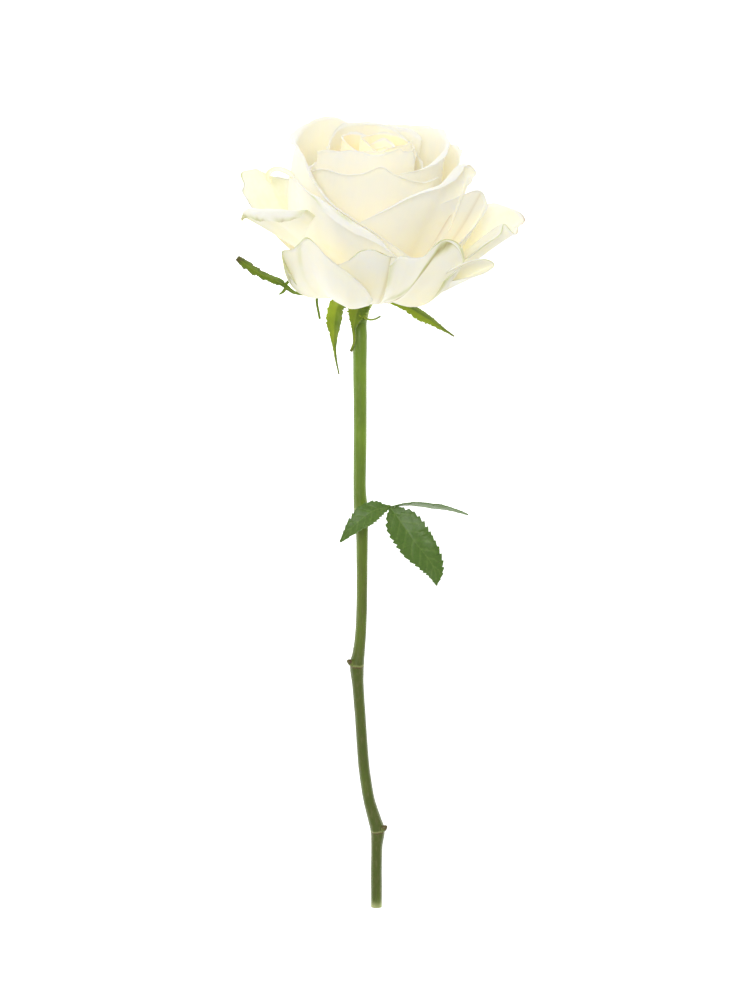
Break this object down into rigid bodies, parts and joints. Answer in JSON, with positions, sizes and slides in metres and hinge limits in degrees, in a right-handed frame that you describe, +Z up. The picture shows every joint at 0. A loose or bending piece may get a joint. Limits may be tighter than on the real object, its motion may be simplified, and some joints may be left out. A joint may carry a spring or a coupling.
{
  "type": "cut rose",
  "caption": "Single cut rose lying on its back: full open bloom with rolled layered petals, reflexed sepals, slightly crooked jointed stem and one toothed compound leaf.",
  "frame": {"origin": "on the table under the middle of the rose's bounding box, as it lies", "axes": "+Y along the stem from its cut end to the bloom, +Z up, away from the table the rose lies on, +X to the right seen from above with the bloom at the top"},
  "size_m": [0.117, 0.3224, 0.0956],
  "materials": {
    "petal": "soft satin, creamy white",
    "sepal": "satin, fresh green",
    "stem": "satin, olive green",
    "leaf": "satin, deep green"
  },
  "bodies": {
    "root": {"bloom": "petal", "calyx": "sepal", "stem": "stem", "leaf": "leaf"}
  },
  "joints": []
}
